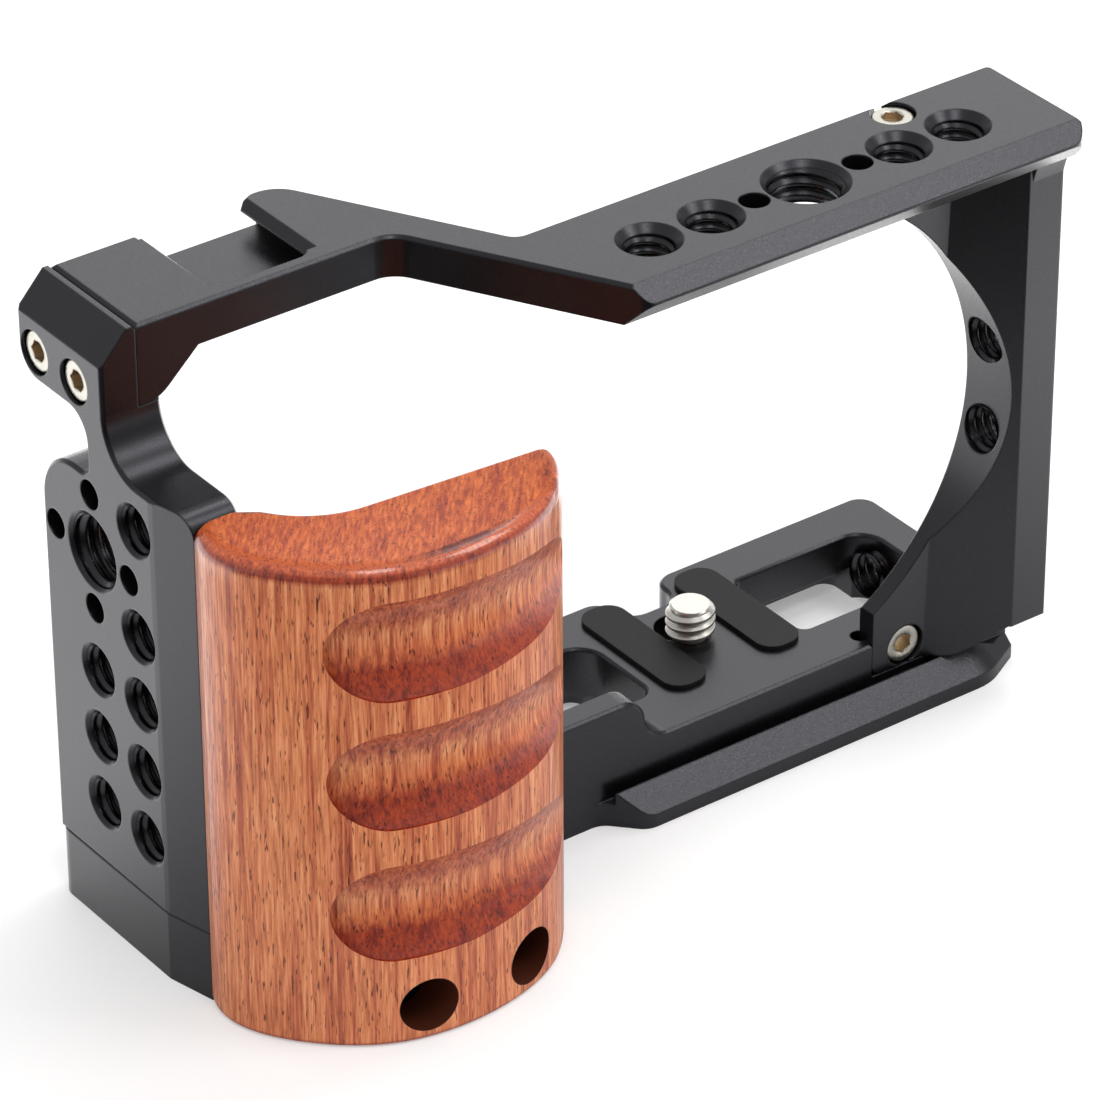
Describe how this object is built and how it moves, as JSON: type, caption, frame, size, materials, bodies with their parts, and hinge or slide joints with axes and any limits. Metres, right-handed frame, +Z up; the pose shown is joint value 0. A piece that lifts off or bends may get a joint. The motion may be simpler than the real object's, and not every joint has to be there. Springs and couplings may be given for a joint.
{
  "type": "camera cage",
  "caption": "Compact camera cage: black aluminium side plate, top arm, lens-side plate and dovetail base with camera screw, threaded holes, cold shoe and a wooden hand grip.",
  "frame": {"origin": "on the camera screw's axis at the bottom plane of the base", "axes": "+X along the camera's width towards the lens side, -Y towards the subject, +Z up"},
  "size_m": [0.125, 0.0575, 0.0837],
  "materials": {
    "side_plate": "matt black anodised",
    "top_arm": "matt black anodised",
    "lens_plate": "matt black anodised",
    "base_plate": "matt black anodised",
    "wood_grip": "satin lacquered hardwood",
    "pad_left": "matt",
    "pad_right": "matt",
    "camera_screw": "satin",
    "screw_ring": "satin",
    "screw_washer": "satin",
    "head_screws": "satin",
    "bar_screw": "satin",
    "foot_screw": "satin",
    "side_screws": "satin",
    "grip_screws": "black oxide",
    "grip_washers": "black oxide",
    "arm_dowel": "satin",
    "side_dowels": "satin",
    "bar_dowels": "satin",
    "grip_dowels": "satin"
  },
  "bodies": {
    "cage": {"side_plate": "side_plate", "top_arm": "top_arm", "lens_plate": "lens_plate", "base_plate": "base_plate", "wood_grip": "wood_grip", "pad_left": "pad_left", "pad_right": "pad_right", "head_screws": "head_screws", "bar_screw": "bar_screw", "foot_screw": "foot_screw", "side_screws": "side_screws", "grip_screws": "grip_screws", "grip_washers": "grip_washers", "arm_dowel": "arm_dowel", "side_dowels": "side_dowels", "bar_dowels": "bar_dowels", "grip_dowels": "grip_dowels"},
    "carriage": {"screw_washer": "screw_washer"},
    "screw": {"camera_screw": "camera_screw"},
    "ring": {"screw_ring": "screw_ring"}
  },
  "joints": [
    {"name": "screw_slide", "type": "slide", "parent": "cage", "child": "carriage", "axis": [0, 1, 0], "range_m": [0, 0.0016]},
    {"name": "screw_turn", "type": "hinge", "parent": "carriage", "child": "screw", "pos_m": [0, 0, 0.005], "axis": [0, 0, 1], "continuous": true},
    {"name": "ring_fold", "type": "hinge", "parent": "screw", "child": "ring", "pos_m": [0, 0, 0.00265], "axis": [1, 0, 0], "range_deg": [0, 90]}
  ]
}
